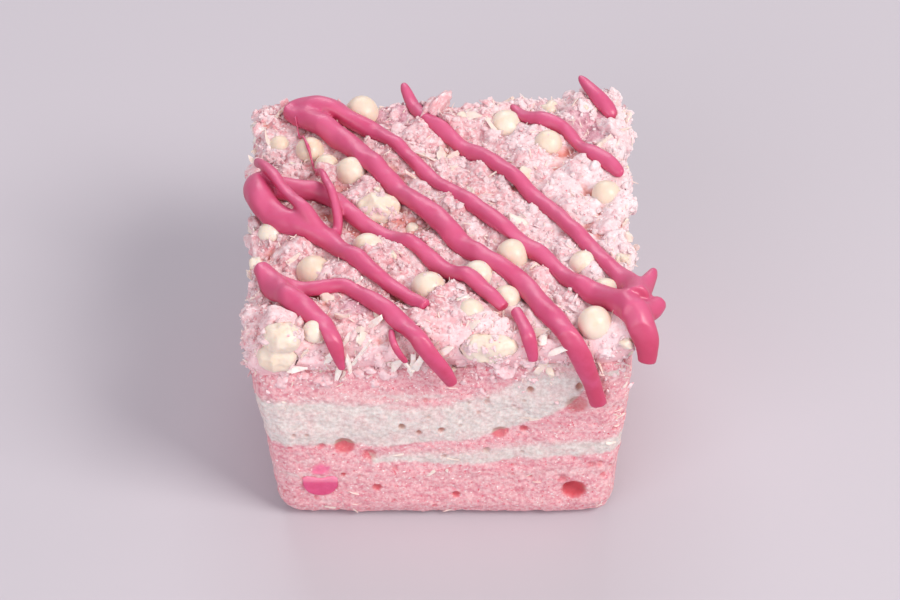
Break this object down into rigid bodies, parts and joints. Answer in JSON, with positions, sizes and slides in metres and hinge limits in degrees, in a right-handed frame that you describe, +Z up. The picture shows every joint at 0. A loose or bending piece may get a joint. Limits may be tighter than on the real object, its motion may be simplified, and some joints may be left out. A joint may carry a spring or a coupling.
{
  "type": "marshmallow square",
  "caption": "Cut square of pink and white swirled marshmallow with a crumb topping, crisp white pearls and pink candy drizzle that hangs over its edges.",
  "frame": {"origin": "centre of the square's box in plan, on the surface it stands on", "axes": "+Z up; +X to the right along the cut front with the swirl; +Y from the cut front to the back"},
  "size_m": [0.0748, 0.0724, 0.0528],
  "materials": {
    "pink_foam": "matte, finely porous set marshmallow foam",
    "white_foam": "matte, finely porous set marshmallow foam",
    "crumb": "matte, coarse pale pink and white crumb",
    "white_chocolate": "satin, smooth ivory chocolate shell",
    "pink_candy": "semi-gloss, smooth set candy coating"
  },
  "bodies": {
    "root": {"foam_pink_lower": "pink_foam", "foam_pink_upper": "pink_foam", "foam_white_broad": "white_foam", "foam_white_thin": "white_foam", "candy_drop": "pink_candy", "crumb_topping": "crumb", "pearl_01": "white_chocolate", "pearl_02": "white_chocolate", "pearl_03": "white_chocolate", "pearl_04": "white_chocolate", "pearl_05": "white_chocolate", "pearl_06": "white_chocolate", "pearl_07": "white_chocolate", "pearl_08": "white_chocolate", "pearl_09": "white_chocolate", "pearl_10": "white_chocolate", "pearl_11": "white_chocolate", "pearl_12": "white_chocolate", "pearl_13": "white_chocolate", "pearl_14": "white_chocolate", "pearl_15": "white_chocolate", "pearl_16": "white_chocolate", "pearl_17": "white_chocolate", "pearl_18": "white_chocolate", "pearl_19": "white_chocolate", "pearl_20": "white_chocolate", "pearl_21": "white_chocolate", "pearl_22": "white_chocolate", "chunk_left": "white_chocolate", "chunk_middle": "white_chocolate", "chunk_top": "white_chocolate", "drizzle_zigzag": "pink_candy", "drizzle_left": "pink_candy", "drizzle_front_left": "pink_candy", "drizzle_back_right": "pink_candy", "drizzle_corner": "pink_candy", "drizzle_fragment": "pink_candy", "drizzle_thread": "pink_candy"}
  },
  "joints": []
}
